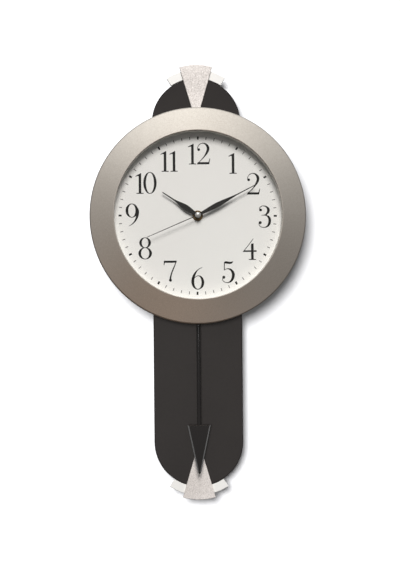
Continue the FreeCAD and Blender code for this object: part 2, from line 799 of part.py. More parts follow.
def make_rod():
    rod = Part.makeCylinder(rod_r, rod_top - rod_end, Vector(0, swing_y, rod_end), Vector(0, 0, 1))
    tongue = block(-4, 4, tongue_front, tongue_front + 1.5, rod_top - 4, stud_z + 5)
    stud = cylinder(1.4, leaf_front - 0.1, tongue_front + 1, 0, stud_z)
    head = cylinder(2.6, leaf_front - 1.1, leaf_front - 0.1, 0, stud_z)
    return rod.fuse(tongue).fuse(stud).fuse(head).removeSplitter()


def make_bob():
    half = bob_width / 2
    lean = math.atan2(half, bob_height)
    tip = bob_tip + bob_tip_r
    ease = bob_tip_r * math.cos(lean)
    drop = bob_tip_r * math.sin(lean)
    edges = [
        Part.LineSegment(Vector(-half, 0, bob_top), Vector(half, 0, bob_top)).toShape(),
        Part.LineSegment(Vector(half, 0, bob_top), Vector(ease, 0, tip - drop)).toShape(),
        Part.Arc(Vector(ease, 0, tip - drop), Vector(0, 0, bob_tip),
                 Vector(-ease, 0, tip - drop)).toShape(),
        Part.LineSegment(Vector(-ease, 0, tip - drop), Vector(-half, 0, bob_top)).toShape(),
    ]
    bob = plate(edges, swing_y - bob_t / 2, swing_y + bob_t / 2)
    rims = front_edges(bob, swing_y - bob_t / 2) + front_edges(bob, swing_y + bob_t / 2)
    bob = bob.makeChamfer(bob_bevel, rims)
    bore = Part.makeCylinder(rod_r + run_gap, bob_top - rod_end + 1.5,
                             Vector(0, swing_y, rod_end - 0.5), Vector(0, 0, 1))
    return bob.cut(bore)


save("pendulum_pivot_pin", cylinder(pin_r, movement_front + 0.1, movement_back - 0.1, 0, pivot_z))
save("pendulum_hanger", make_pendulum_hanger())
save("pendulum_magnet", cylinder(5.0, swing_y, coil_front - 1.0, 0, coil_z))
save("pendulum_coil", tube(9.0, 2.5, coil_front, inner_back, 0, coil_z))
save("pendulum_rod", make_rod())
save("pendulum_bob", make_bob())


os.makedirs("parts", exist_ok=True)
for name, shape in parts.items():
    shape = shape.copy()
    shape.translate(Vector(0, 0, -hanger_z))
    good = shape.isValid() and all(solid.Volume > 0 for solid in shape.Solids)
    print(name, len(shape.Solids), "solids", round(shape.Volume, 1), "mm3", "" if good else "BAD")
    shape.exportStep("parts/" + name + ".step")
print(len(parts), "sub-parts")
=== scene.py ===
import json
import math
import bmesh
import bpy
from mathutils import Matrix, Vector


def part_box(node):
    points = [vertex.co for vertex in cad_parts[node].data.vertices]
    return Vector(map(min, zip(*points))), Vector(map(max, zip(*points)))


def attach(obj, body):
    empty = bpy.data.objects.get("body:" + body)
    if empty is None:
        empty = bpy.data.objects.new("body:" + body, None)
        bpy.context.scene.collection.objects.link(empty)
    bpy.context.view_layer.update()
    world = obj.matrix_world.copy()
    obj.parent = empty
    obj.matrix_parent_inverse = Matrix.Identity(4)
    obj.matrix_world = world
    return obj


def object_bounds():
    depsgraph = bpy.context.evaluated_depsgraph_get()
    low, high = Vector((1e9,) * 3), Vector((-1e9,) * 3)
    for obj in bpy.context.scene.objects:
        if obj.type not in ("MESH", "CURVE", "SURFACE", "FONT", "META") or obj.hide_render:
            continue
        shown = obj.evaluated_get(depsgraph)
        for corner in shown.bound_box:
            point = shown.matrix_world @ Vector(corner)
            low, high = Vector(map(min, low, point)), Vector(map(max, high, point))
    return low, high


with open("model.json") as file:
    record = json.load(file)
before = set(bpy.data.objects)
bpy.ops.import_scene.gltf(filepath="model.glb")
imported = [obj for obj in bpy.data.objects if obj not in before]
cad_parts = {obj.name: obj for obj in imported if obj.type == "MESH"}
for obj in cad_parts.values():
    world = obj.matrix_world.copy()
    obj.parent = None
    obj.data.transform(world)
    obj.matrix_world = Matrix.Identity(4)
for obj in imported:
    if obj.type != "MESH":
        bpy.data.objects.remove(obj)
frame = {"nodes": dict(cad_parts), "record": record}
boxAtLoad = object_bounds()
nodes = frame["nodes"]
mm = 0.001
print("stage: frame loaded,", len(nodes), "nodes")


# places read from the frame
ringLow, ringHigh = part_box("bezel")
hub = Vector(((ringLow.x + ringHigh.x) / 2, 0, (ringLow.z + ringHigh.z) / 2))     # the dial's centre
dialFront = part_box("dial_plate")[0].y


# ---- camera

cameraSetup = {
    "distance": 1.6,      # from the ring's outer edge
    "edgeBack": 12.0 * mm,     # how far that edge lies behind the ring's front
    "sensor": 36,
    "drop": 0.200,        # below the centre of the dial
    "side": -0.075,
    "aimDrop": 0.0950,    # the point in the middle of the picture, below the centre of the dial
    "aimSide": 0.0013,
    "roll": -0.5,
    "lens": 73.5,
}


def makeCamera(setup):
    data = bpy.data.cameras.new("clockCamera")
    data.lens = setup["lens"]
    data.sensor_width = setup["sensor"]
    camera = bpy.data.objects.new("clockCamera", data)
    bpy.context.scene.collection.objects.link(camera)
    edge = hub + Vector((0, ringLow.y + setup["edgeBack"], 0))
    camera.location = edge + Vector((setup["side"], -setup["distance"], -setup["drop"]))
    # looks straight at the wall, so upright lines stay parallel, and shifts to the clock's middle
    perDistance = data.lens / data.sensor_width / setup["distance"]
    data.shift_x = (setup["aimSide"] - setup["side"]) * perDistance
    data.shift_y = (setup["drop"] - setup["aimDrop"]) * perDistance
    turn = Matrix.Rotation(math.radians(90), 3, "X")
    roll = Matrix.Rotation(math.radians(setup["roll"]), 3, "Z")
    camera.rotation_euler = (turn @ roll).to_euler()
    bpy.context.scene.camera = camera


makeCamera(cameraSetup)


# ---- node groups that several finishes share

def newGroup(name, inputs, outputs):
    group = bpy.data.node_groups.new(name, "ShaderNodeTree")
    for label, kind, value in inputs:
        socket = group.interface.new_socket(name=label, in_out="INPUT", socket_type=kind)
        socket.default_value = value
    for label, kind in outputs:
        group.interface.new_socket(name=label, in_out="OUTPUT", socket_type=kind)
    return group, group.nodes.new("NodeGroupInput"), group.nodes.new("NodeGroupOutput")


def addNode(tree, kind, settings=None, values=None):
    node = tree.nodes.new(kind)
    for key, value in (settings or {}).items():
        setattr(node, key, value)
    for key, value in (values or {}).items():
        node.inputs[key].default_value = value
    return node


def makeGrainGroup():
    # fine stretched noise, for brushing, moulding texture and paint
    group, given, out = newGroup("fineGrain", [
        ("Scale", "NodeSocketFloat", 400.0),
        ("Stretch", "NodeSocketVector", (1, 1, 1)),
        ("Roughness Low", "NodeSocketFloat", 0.3),
        ("Roughness High", "NodeSocketFloat", 0.5),
        ("Drift", "NodeSocketFloat", 6.0),
    ], [("Height", "NodeSocketFloat"), ("Roughness", "NodeSocketFloat"), ("Drift", "NodeSocketFloat")])
    link = group.links.new
    coords = addNode(group, "ShaderNodeTexCoord")
    mapping = addNode(group, "ShaderNodeMapping")
    fine = addNode(group, "ShaderNodeTexNoise", values={"Detail": 4.0, "Roughness": 0.6})
    slow = addNode(group, "ShaderNodeTexNoise", values={"Detail": 2.0})
    spread = addNode(group, "ShaderNodeMapRange", values={"From Min": 0.3, "From Max": 0.7})
    link(coords.outputs["Object"], mapping.inputs["Vector"])
    link(given.outputs["Stretch"], mapping.inputs["Scale"])
    link(mapping.outputs["Vector"], fine.inputs["Vector"])
    link(given.outputs["Scale"], fine.inputs["Scale"])
    link(coords.outputs["Object"], slow.inputs["Vector"])
    link(given.outputs["Drift"], slow.inputs["Scale"])
    link(fine.outputs["Fac"], spread.inputs["Value"])
    link(given.outputs["Roughness Low"], spread.inputs["To Min"])
    link(given.outputs["Roughness High"], spread.inputs["To Max"])
    link(fine.outputs["Fac"], out.inputs["Height"])
    link(spread.outputs["Result"], out.inputs["Roughness"])
    link(slow.outputs["Fac"], out.inputs["Drift"])
    return group


def makeToneGroup():
    # colour that drifts slowly between two tones
    group, given, out = newGroup("toneDrift", [
        ("Tone A", "NodeSocketColor", (1, 1, 1, 1)),
        ("Tone B", "NodeSocketColor", (1, 1, 1, 1)),
        ("Drift", "NodeSocketFloat", 0.5),
        ("Speck", "NodeSocketFloat", 0.5),
        ("Speck Amount", "NodeSocketFloat", 0.0),
    ], [("Color", "NodeSocketColor")])
    link = group.links.new
    spread = addNode(group, "ShaderNodeMapRange", values={"From Min": 0.35, "From Max": 0.65})
    mix = addNode(group, "ShaderNodeMix", {"data_type": "RGBA"})
    shift = addNode(group, "ShaderNodeMath", {"operation": "SUBTRACT"}, {1: 0.5})
    scale = addNode(group, "ShaderNodeMath", {"operation": "MULTIPLY"})
    total = addNode(group, "ShaderNodeMath", {"operation": "ADD", "use_clamp": True})
    link(given.outputs["Drift"], spread.inputs["Value"])
    link(given.outputs["Speck"], shift.inputs[0])
    link(shift.outputs["Value"], scale.inputs[0])
    link(given.outputs["Speck Amount"], scale.inputs[1])
    link(spread.outputs["Result"], total.inputs[0])
    link(scale.outputs["Value"], total.inputs[1])
    link(total.outputs["Value"], mix.inputs["Factor"])
    link(given.outputs["Tone A"], mix.inputs["A"])
    link(given.outputs["Tone B"], mix.inputs["B"])
    link(mix.outputs["Result"], out.inputs["Color"])
    return group


def makeFlakeGroup():
    # small cells that each lean their own way, for frosted metal
    group, given, out = newGroup("frostFlakes", [
        ("Scale", "NodeSocketFloat", 900.0),
        ("Lean", "NodeSocketFloat", 0.3),
    ], [("Normal", "NodeSocketVector"), ("Mask", "NodeSocketFloat")])
    link = group.links.new
    coords = addNode(group, "ShaderNodeTexCoord")
    cells = addNode(group, "ShaderNodeTexVoronoi")
    shift = addNode(group, "ShaderNodeVectorMath", {"operation": "SUBTRACT"})
    shift.inputs[1].default_value = (0.5, 0.5, 0.5)
    lean = addNode(group, "ShaderNodeVectorMath", {"operation": "SCALE"})
    geometry = addNode(group, "ShaderNodeNewGeometry")
    total = addNode(group, "ShaderNodeVectorMath", {"operation": "ADD"})
    unit = addNode(group, "ShaderNodeVectorMath", {"operation": "NORMALIZE"})
    split = addNode(group, "ShaderNodeSeparateColor")
    link(coords.outputs["Object"], cells.inputs["Vector"])
    link(given.outputs["Scale"], cells.inputs["Scale"])
    link(cells.outputs["Color"], shift.inputs[0])
    link(shift.outputs["Vector"], lean.inputs[0])
    link(given.outputs["Lean"], lean.inputs["Scale"])
    link(geometry.outputs["Normal"], total.inputs[0])
    link(lean.outputs["Vector"], total.inputs[1])
    link(total.outputs["Vector"], unit.inputs[0])
    link(unit.outputs["Vector"], out.inputs["Normal"])
    link(cells.outputs["Color"], split.inputs["Color"])
    link(split.outputs["Red"], out.inputs["Mask"])
    return group


grainGroup = makeGrainGroup()
toneGroup = makeToneGroup()
flakeGroup = makeFlakeGroup()
print("stage: shared node groups made")


# ---- finishes

def srgb(red, green, blue):
    # 0 to 255 display values to linear
    out = []
    for value in (red, green, blue):
        c = value / 255
        out.append(c / 12.92 if c <= 0.04045 else ((c + 0.055) / 1.055) ** 2.4)
    return (*out, 1.0)


def finishMaterial(name, look):
    material = bpy.data.materials.new(name)
    material.use_nodes = True
    tree = material.node_tree
    tree.nodes.clear()
    link = tree.links.new
    out = addNode(tree, "ShaderNodeOutputMaterial")
    shader = addNode(tree, "ShaderNodeBsdfPrincipled")
    shader.inputs["Metallic"].default_value = look.get("metallic", 0.0)
    shader.inputs["Coat Weight"].default_value = look.get("coat", 0.0)
    shader.inputs["Coat Roughness"].default_value = look.get("coatRoughness", 0.05)
    shader.inputs["Specular IOR Level"].default_value = look.get("specular", 0.5)
    grain = addNode(tree, "ShaderNodeGroup", {"node_tree": grainGroup})
    grain.inputs["Scale"].default_value = look.get("grain", 400.0)
    grain.inputs["Stretch"].default_value = look.get("stretch", (1, 1, 1))
    grain.inputs["Roughness Low"].default_value = look["roughness"][0]
    grain.inputs["Roughness High"].default_value = look["roughness"][1]
    grain.inputs["Drift"].default_value = look.get("drift", 6.0)
    tone = addNode(tree, "ShaderNodeGroup", {"node_tree": toneGroup})
    tone.inputs["Tone A"].default_value = look["toneA"]
    tone.inputs["Tone B"].default_value = look["toneB"]
    tone.inputs["Speck Amount"].default_value = look.get("speck", 0.4)
    bump = addNode(tree, "ShaderNodeBump", values={"Strength": look.get("bump", 0.1), "Distance": 0.0002})
    link(grain.outputs["Roughness"], shader.inputs["Roughness"])
    link(grain.outputs["Drift"], tone.inputs["Drift"])
    link(grain.outputs["Height"], tone.inputs["Speck"])
    link(grain.outputs["Height"], bump.inputs["Height"])
    link(tone.outputs["Color"], shader.inputs["Base Color"])
    if "flakes" in look:
        flakes = addNode(tree, "ShaderNodeGroup", {"node_tree": flakeGroup})
        flakes.inputs["Scale"].default_value = look["flakes"]
        flakes.inputs["Lean"].default_value = look["lean"]
        link(flakes.outputs["Normal"], bump.inputs["Normal"])
    link(bump.outputs["Normal"], shader.inputs["Normal"])
    link(shader.outputs["BSDF"], out.inputs["Surface"])
    return material


def lensMaterial(name, look):
    # clear pane: nearly open, with a smooth, faintly uneven shine
    material = bpy.data.materials.new(name)
    material.use_nodes = True
    tree = material.node_tree
    tree.nodes.clear()
    link = tree.links.new
    out = addNode(tree, "ShaderNodeOutputMaterial")
    shader = addNode(tree, "ShaderNodeBsdfPrincipled")
    shader.inputs["Base Color"].default_value = look["tint"]
    shader.inputs["Alpha"].default_value = look["alpha"]
    grain = addNode(tree, "ShaderNodeGroup", {"node_tree": grainGroup})
    grain.inputs["Scale"].default_value = look["grain"]
    grain.inputs["Roughness Low"].default_value = look["roughness"][0]
    grain.inputs["Roughness High"].default_value = look["roughness"][1]
    link(grain.outputs["Roughness"], shader.inputs["Roughness"])
    link(shader.outputs["BSDF"], out.inputs["Surface"])
    return material


looks = {
    "boardPaint": {"toneA": srgb(44, 40, 39), "toneB": srgb(40, 36, 35), "roughness": (0.55, 0.65),
                   "grain": 1400.0, "bump": 0.2, "speck": 0.9, "drift": 9.0, "specular": 0.2},
    "ringSatin": {"toneA": srgb(189, 185, 179), "toneB": srgb(174, 169, 162), "metallic": 1.0,
                  "roughness": (0.62, 0.68), "grain": 800.0, "bump": 0.15, "drift": 4.0, "speck": 2.2},
    "frostSilver": {"toneA": srgb(238, 231, 227), "toneB": srgb(188, 181, 176), "metallic": 0.1,
                    "roughness": (0.42, 0.60), "grain": 900.0, "bump": 0.5, "speck": 3.0,
                    "flakes": 1000.0, "lean": 0.24},
    "brightSilver": {"toneA": srgb(244, 243, 240), "toneB": srgb(236, 234, 231), "metallic": 0.05,
                     "roughness": (0.34, 0.42), "grain": 700.0, "bump": 0.05},
    "dialPaint": {"toneA": srgb(248, 247, 243), "toneB": srgb(245, 243, 239), "roughness": (0.55, 0.65),
                  "grain": 1800.0, "bump": 0.06, "speck": 0.3, "specular": 0.3},
    "spacerPaint": {"toneA": srgb(226, 223, 217), "toneB": srgb(219, 216, 210), "roughness": (0.5, 0.6),
                    "grain": 1200.0, "bump": 0.08},
    "printInk": {"toneA": srgb(16, 13, 10), "toneB": srgb(10, 8, 7), "roughness": (0.5, 0.65),
                 "grain": 2500.0, "bump": 0.05, "specular": 0.3},
    "greyInk": {"toneA": srgb(92, 90, 88), "toneB": srgb(80, 78, 76), "roughness": (0.5, 0.6),
                "grain": 2500.0, "bump": 0.05, "specular": 0.3},
    "handPaint": {"toneA": srgb(38, 36, 34), "toneB": srgb(28, 26, 25), "roughness": (0.30, 0.42),
                  "grain": 1600.0, "bump": 0.08, "metallic": 0.3},
    "capChrome": {"toneA": srgb(214, 212, 208), "toneB": srgb(200, 198, 194), "metallic": 0.55,
                  "roughness": (0.22, 0.30), "grain": 1500.0, "bump": 0.02},
    "turnedBrass": {"toneA": srgb(158, 134, 100), "toneB": srgb(130, 106, 76), "metallic": 1.0,
                    "roughness": (0.22, 0.34), "grain": 900.0, "stretch": (1, 6, 1), "bump": 0.06},
    "glossBlack": {"toneA": srgb(32, 29, 28), "toneB": srgb(24, 22, 21), "roughness": (0.12, 0.20),
                   "grain": 600.0, "bump": 0.02, "coat": 0.6, "coatRoughness": 0.06},
    "panPaint": {"toneA": srgb(70, 67, 64), "toneB": srgb(58, 55, 53), "roughness": (0.42, 0.55),
                 "grain": 1300.0, "bump": 0.2},
    "plainSteel": {"toneA": srgb(196, 196, 198), "toneB": srgb(176, 176, 180), "metallic": 1.0,
                   "roughness": (0.25, 0.42), "grain": 900.0, "stretch": (6, 1, 1), "bump": 0.08},
    "blackPlastic": {"toneA": srgb(38, 38, 39), "toneB": srgb(30, 30, 31), "roughness": (0.45, 0.62),
                     "grain": 1500.0, "bump": 0.3},
    "softRubber": {"toneA": srgb(30, 30, 30), "toneB": srgb(24, 24, 24), "roughness": (0.7, 0.85),
                   "grain": 900.0, "bump": 0.2, "specular": 0.25},
    "gearPlastic": {"toneA": srgb(232, 228, 214), "toneB": srgb(220, 215, 198), "roughness": (0.32, 0.45),
                    "grain": 900.0, "bump": 0.06},
    "cellSleeve": {"toneA": srgb(52, 72, 98), "toneB": srgb(44, 62, 88), "roughness": (0.25, 0.35),
                   "grain": 500.0, "bump": 0.04, "coat": 0.3},
    "circuitGreen": {"toneA": srgb(34, 88, 52), "toneB": srgb(26, 74, 44), "roughness": (0.3, 0.45),
                     "grain": 1200.0, "bump": 0.2, "coat": 0.4},
    "copperWire": {"toneA": srgb(196, 118, 72), "toneB": srgb(170, 96, 56), "metallic": 1.0,
                   "roughness": (0.3, 0.45), "grain": 900.0, "stretch": (1, 1, 8), "bump": 0.5},
    "darkMagnet": {"toneA": srgb(84, 84, 88), "toneB": srgb(66, 66, 70), "metallic": 0.8,
                   "roughness": (0.4, 0.55), "grain": 1300.0, "bump": 0.2},
}
finishes = {name: finishMaterial(name, look) for name, look in looks.items()}
lensLook = {"tint": (0.02, 0.022, 0.021, 1), "alpha": 0.04, "grain": 60.0, "roughness": (0.02, 0.06)}
finishes["clearLens"] = lensMaterial("clearLens", lensLook)

slotFinish = {
    "board": "boardPaint", "finial": "frostSilver", "finial_bright": "brightSilver", "ring": "ringSatin",
    "case_dark": "blackPlastic", "case_pan": "panPaint", "dial": "dialPaint", "spacer": "spacerPaint",
    "lens": "clearLens", "hands": "handPaint", "cap": "capChrome", "brass": "turnedBrass",
    "pendulum_black": "glossBlack", "steel": "plainSteel", "rubber": "softRubber",
    "gear_plastic": "gearPlastic", "cell": "cellSleeve", "circuit": "circuitGreen",
    "copper": "copperWire", "magnet": "darkMagnet",
}


def dressNodes():
    for part in frame["record"]["subparts"]:
        node = nodes[part["node"]]
        node.data.materials.clear()
        node.data.materials.append(finishes[slotFinish[part["material_slot"]]])


dressNodes()
print("stage: finishes on the CAD nodes")


# ---- printing on the dial

numerals = {
    "unit": 0.2865 * mm,      # a hundredth of the numerals' height
    "ink": 0.05 * mm,         # how far the print stands off the dial
    "layer": 0.001 * mm,      # how far each stroke of a numeral stands off the one before
    "weight": 1.5,            # added to every stroke's width, in the same hundredths
    "turn": 0.6,              # degrees clockwise that the print sits on the dial
    "dotSides": 28,
    "bowlSides": 72,
    "track": 106.9 * mm,      # radius of the middle of the tick track
    "hourTick": (4.3 * mm, 2.5 * mm),
    "minuteTick": (4.0 * mm, 1.0 * mm),
    # place of each numeral's middle, right and up from the centre of the dial
    "places": {
        1: (48.0, 72.2), 2: (76.9, 44.2), 3: (92.5, -1.1), 4: (71.8, -46.0), 5: (42.6, -77.6),
        6: (0.3, -86.5), 7: (-37.7, -76.5), 8: (-72.3, -45.1), 9: (-90.0, 1.0),
        10: (-71.2, 45.0), 11: (-39.5, 74.8), 12: (1.8, 85.6),
    },
    "gaps": {"10": 37.6, "11": 43.0, "12": 42.8},   # from one digit's left edge to the next
}


def pen(*points):
    return ("pen", points)


def fill(*points):
    return ("fill", points)


def dot(x, y, r):
    return ("dot", (x, y, r))


def bowl(x, y, outer, inner):
    return ("bowl", (x, y, outer, inner))


# high-contrast digits: pen strokes are (x, y, width), in hundredths of the height
digits = {
    "0": [bowl(31, 51, (31.2, 52), (20, 49.6))],
    "1": [fill((15, 0), (26, 0), (26, 98), (24.5, 98), (17, 93.5), (8, 89), (0, 84.2), (0, 82.2), (8, 85.2),
               (12, 85.6), (15, 84)),
          fill((4, 0), (37, 0), (37, 2.2), (26, 3.4), (15, 3.4), (4, 2.2))],
    "2": [pen((2.5, 72, 2.4), (3.5, 82, 2.6), (9, 92, 2.8), (18, 98.5, 3), (29, 101, 3.2), (42, 96, 6.5),
              (51, 84, 11), (52.5, 71, 11), (46, 54, 8.5), (33, 35, 4.4), (17, 17.5, 2.8), (3, 5.5, 2.4)),
          dot(8, 70, 5.8),
          fill((0.5, 0), (57, 0), (62, 26), (60.2, 26), (56, 11), (52, 9), (4, 9), (0.5, 3))],
    "3": [pen((5, 84, 2.4), (5.5, 93, 2.6), (13, 101, 2.8), (24, 103.5, 3), (38, 99, 6), (46.5, 88, 11),
              (46, 75, 11), (38, 64, 6.5), (27, 59.5, 3), (14, 59, 2.4)),
          pen((24, 59.6, 2.6), (39, 57, 4.5), (50, 47, 10), (53.5, 33, 11.5), (50, 16, 10), (40, 4, 6),
              (26, 0, 3), (12, 2.5, 2.6), (3.5, 10, 2.6), (1.5, 19, 2.4), (2.5, 24, 2.4)),
          dot(10, 84, 6.0), dot(7.5, 23, 6.5)],
    "4": [pen((49.5, 101.5, 2.2), (34, 81, 2.6), (18, 60, 2.6), (1.5, 40.5, 2.6)),
          fill((0, 38.6), (64, 38.6), (64, 44.6), (5, 44.6), (0, 40.4)),
          fill((39, 1), (50, 1), (50, 78), (39, 76.5)),
          fill((28, 0), (61, 0), (61, 2.2), (50, 3.4), (39, 3.4), (28, 2.2))],
    "5": [pen((10.4, 95, 5.5), (18, 97.2, 9.4), (28, 96, 9.4), (38, 94.6, 8.8), (46, 96.6, 6.6),
              (52.5, 101.5, 2)),
          fill((9.6, 60), (11.8, 60), (12.2, 96), (9.6, 98)),
          pen((10.6, 60.5, 2.2), (18, 65, 2.6), (30, 66.4, 4), (43, 61, 8), (52, 47, 12), (53.5, 33, 12.5),
              (48.5, 16, 10.5), (38, 4, 6), (26, 0, 3), (12, 2.5, 2.6), (3.5, 10.5, 2.6), (1.8, 20, 2.4),
              (4, 25, 2.4)),
          dot(7.6, 26, 6.4)],
    "6": [pen((53, 104, 1.6), (41, 99.5, 2.6), (26, 88, 4.6), (14, 69, 9), (7.6, 49, 11.8), (6.6, 31, 11.8),
              (11, 15, 9.4), (20, 3.5, 5), (31, -0.4, 3), (43, 4.5, 5.4), (52, 17, 10), (54.8, 32, 11.6),
              (52, 47.5, 10), (44, 60, 6), (33.5, 64.4, 2.8), (22, 61, 2.4), (12, 50, 2.2))],
    "7": [fill((2, 99.5), (61, 99.5), (61.5, 94), (60, 91), (4.6, 91), (2.2, 80), (0.2, 80)),
          pen((60, 97, 3), (53.5, 79, 4), (45.5, 60, 4.8), (37.5, 40, 5.4), (32.6, 22, 6.2), (31.4, 9, 7)),
          dot(31.6, 6.4, 6.4)],
    "8": [bowl(32, 79, (27.2, 25.4), (16.4, 23)), bowl(32, 28, (31.8, 28.4), (20.2, 26))],
    "9": [bowl(29.5, 75, (29.5, 33.5), (18, 31)),
          pen((54.5, 86, 7), (57.4, 72, 11.4), (56, 53, 10.6), (50, 35, 8), (40.5, 20, 5.2), (28, 8, 3),
              (14, 0.6, 1.4))],
}


def smoothRow(points, steps=8):
    # Catmull-Rom through points of any size
    rows = [points[0], *points, points[-1]]
    out = []
    for i in range(1, len(rows) - 2):
        a, b, c, d = rows[i - 1:i + 3]
        for s in range(steps):
            t = s / steps
            out.append(tuple(0.5 * (2 * q + (r - p) * t + (2 * p - 5 * q + 4 * r - u) * t * t
                                    + (3 * q - p - 3 * r + u) * t * t * t)
                             for p, q, r, u in zip(a, b, c, d)))
    out.append(tuple(points[-1]))
    return out


def growOutline(points, amount):
    # moves every side of a closed outline outwards by the same amount
    count = len(points)
    area = sum(points[i - 1][0] * points[i][1] - points[i][0] * points[i - 1][1] for i in range(count))
    side = 1 if area > 0 else -1
    grown = []
    for i, (x, y) in enumerate(points):
        normals = []
        for (x0, y0), (x1, y1) in ((points[i - 1], (x, y)), ((x, y), points[(i + 1) % count])):
            normals.append(Vector((y1 - y0, x0 - x1)).normalized() * side)
        middle = (normals[0] + normals[1]).normalized()
        reach = amount / max(middle.dot(normals[0]), 0.5)
        grown.append((x + middle.x * reach, y + middle.y * reach))
    return grown


def strokeFaces(part, setup):
    # the outline faces of one part of a digit, as lists of (x, y)
    kind, data = part
    weight = setup["weight"]
    if kind == "fill":
        return [growOutline(data, weight / 2)]
    if kind == "dot":
        x, y, r = data
        sides = setup["dotSides"]
        turns = [math.tau * i / sides for i in range(sides)]
        r += weight / 2
        return [[(x + r * math.cos(t), y + r * math.sin(t)) for t in turns]]
    if kind == "bowl":
        x, y, outer, inner = data
        sides = setup["bowlSides"]
        turns = [math.tau * i / sides for i in range(sides)]
        wide, high = weight / 2, weight / 4
        rings = []
        for a, b in ((outer[0] + wide, outer[1] + high), (inner[0] - wide, inner[1] - high)):
            rings.append([(x + a * math.cos(t), y + b * math.sin(t)) for t in turns])
        return [[rings[0][i], rings[0][(i + 1) % sides], rings[1][(i + 1) % sides], rings[1][i]]
                for i in range(sides)]
    row = smoothRow(data)
    left, right = [], []
    for i, (x, y, w) in enumerate(row):
        x0, y0, _ = row[max(i - 1, 0)]
        x1, y1, _ = row[min(i + 1, len(row) - 1)]
        length = math.hypot(x1 - x0, y1 - y0)
        nx, ny = -(y1 - y0) / length, (x1 - x0) / length
        half = (w + weight * min(w / 8, 1)) / 2     # thin strokes stay thin
        left.append((x + nx * half, y + ny * half))
        right.append((x - nx * half, y - ny * half))
    return [[left[i], right[i], right[i + 1], left[i + 1]] for i in range(len(row) - 1)]


def printedPiece(name, groups, material):
    # groups of flat faces on the dial; each group becomes one thin closed solid
    mesh = bmesh.new()
    for level, faces in groups:
        front = dialFront - level
        known = {}
        made = []
        for face in faces:
            corners = []
            for x, z in face:
                key = (round(x, 7), round(z, 7))
                if key not in known:
                    known[key] = mesh.verts.new((x, front, z))
                if known[key] not in corners:
                    corners.append(known[key])
            if len(corners) > 2:
                made.append(mesh.faces.new(corners))
        grown = bmesh.ops.extrude_face_region(mesh, geom=made)
        moved = [v for v in grown["geom"] if isinstance(v, bmesh.types.BMVert)]
        bmesh.ops.translate(mesh, verts=moved, vec=(0, level, 0))
    bmesh.ops.recalc_face_normals(mesh, faces=mesh.faces)
    data = bpy.data.meshes.new(name)
    mesh.to_mesh(data)
    mesh.free()
    data.materials.append(material)
    piece = bpy.data.objects.new(name, data)
    bpy.context.scene.collection.objects.link(piece)
    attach(piece, "clock_case")
    return piece


def numeralGroups(setup):
    groups = []
    turn = math.radians(setup["turn"])
    for number, place in setup["places"].items():
        right = place[0] * math.cos(turn) + place[1] * math.sin(turn)
        up = place[1] * math.cos(turn) - place[0] * math.sin(turn)
        text = str(number)
        placed = []
        left = 0.0
        for digit in text:
            for part in digits[digit]:
                faces = strokeFaces(part, setup)
                placed.append([[(x + left, y) for x, y in face] for face in faces])
            left += setup["gaps"].get(text, 0.0)
        xs = [x for faces in placed for face in faces for x, y in face]
        ys = [y for faces in placed for face in faces for x, y in face]
        middleX = (min(xs) + max(xs)) / 2
        middleY = (min(ys) + max(ys)) / 2
        for order, faces in enumerate(placed):
            level = setup["ink"] + order * setup["layer"]
            moved = [[(hub.x + right * mm + (x - middleX) * setup["unit"],
                       hub.z + up * mm + (y - middleY) * setup["unit"]) for x, y in face]
                     for face in faces]
            groups.append((level, moved))
    return groups


def tickGroups(setup, wanted, size):
    groups = []
    for minute in range(60):
        if (minute % 5 == 0) is not wanted:
            continue
        turn = math.radians(6 * minute + setup["turn"])
        out = Vector((math.sin(turn), math.cos(turn)))
        side = Vector((out.y, -out.x))
        centre = Vector((hub.x, hub.z)) + out * setup["track"]
        length, width = size
        corners = []
        for a, b in ((-1, -1), (-1, 1), (1, 1), (1, -1)):
            p = centre + out * (a * length / 2) + side * (b * width / 2)
            corners.append((p.x, p.y))
        groups.append((setup["ink"], [corners]))
    return groups


printedPiece("dial_numerals", numeralGroups(numerals), finishes["printInk"])
printedPiece("dial_hour_ticks", tickGroups(numerals, True, numerals["hourTick"]),
             finishes["printInk"])
printedPiece("dial_minute_ticks", tickGroups(numerals, False, numerals["minuteTick"]),
             finishes["greyInk"])
print("stage: dial printed")


# ---- wall, floor and light

stageSetup = {
    "wallGap": 20.0 * mm,
    "wallSize": 4.0,
    "floorBelow": 0.45,
    "wallWhite": (0.53, 0.53, 0.54, 1),
    "wallGlow": 0.06,
    "floorTones": ((0.80, 0.79, 0.78, 1), (0.84, 0.83, 0.82, 1)),
    "floorRoughness": 0.8,
    "aimBelow": 0.08,      # the lamps point this far below the dial's centre
    # the room's brightness from straight down (0) to straight up (1)
    "world": [(0.05, 0.03), (0.30, 0.09), (0.46, 0.165), (0.60, 0.17), (0.80, 0.22), (1.0, 0.9)],
}

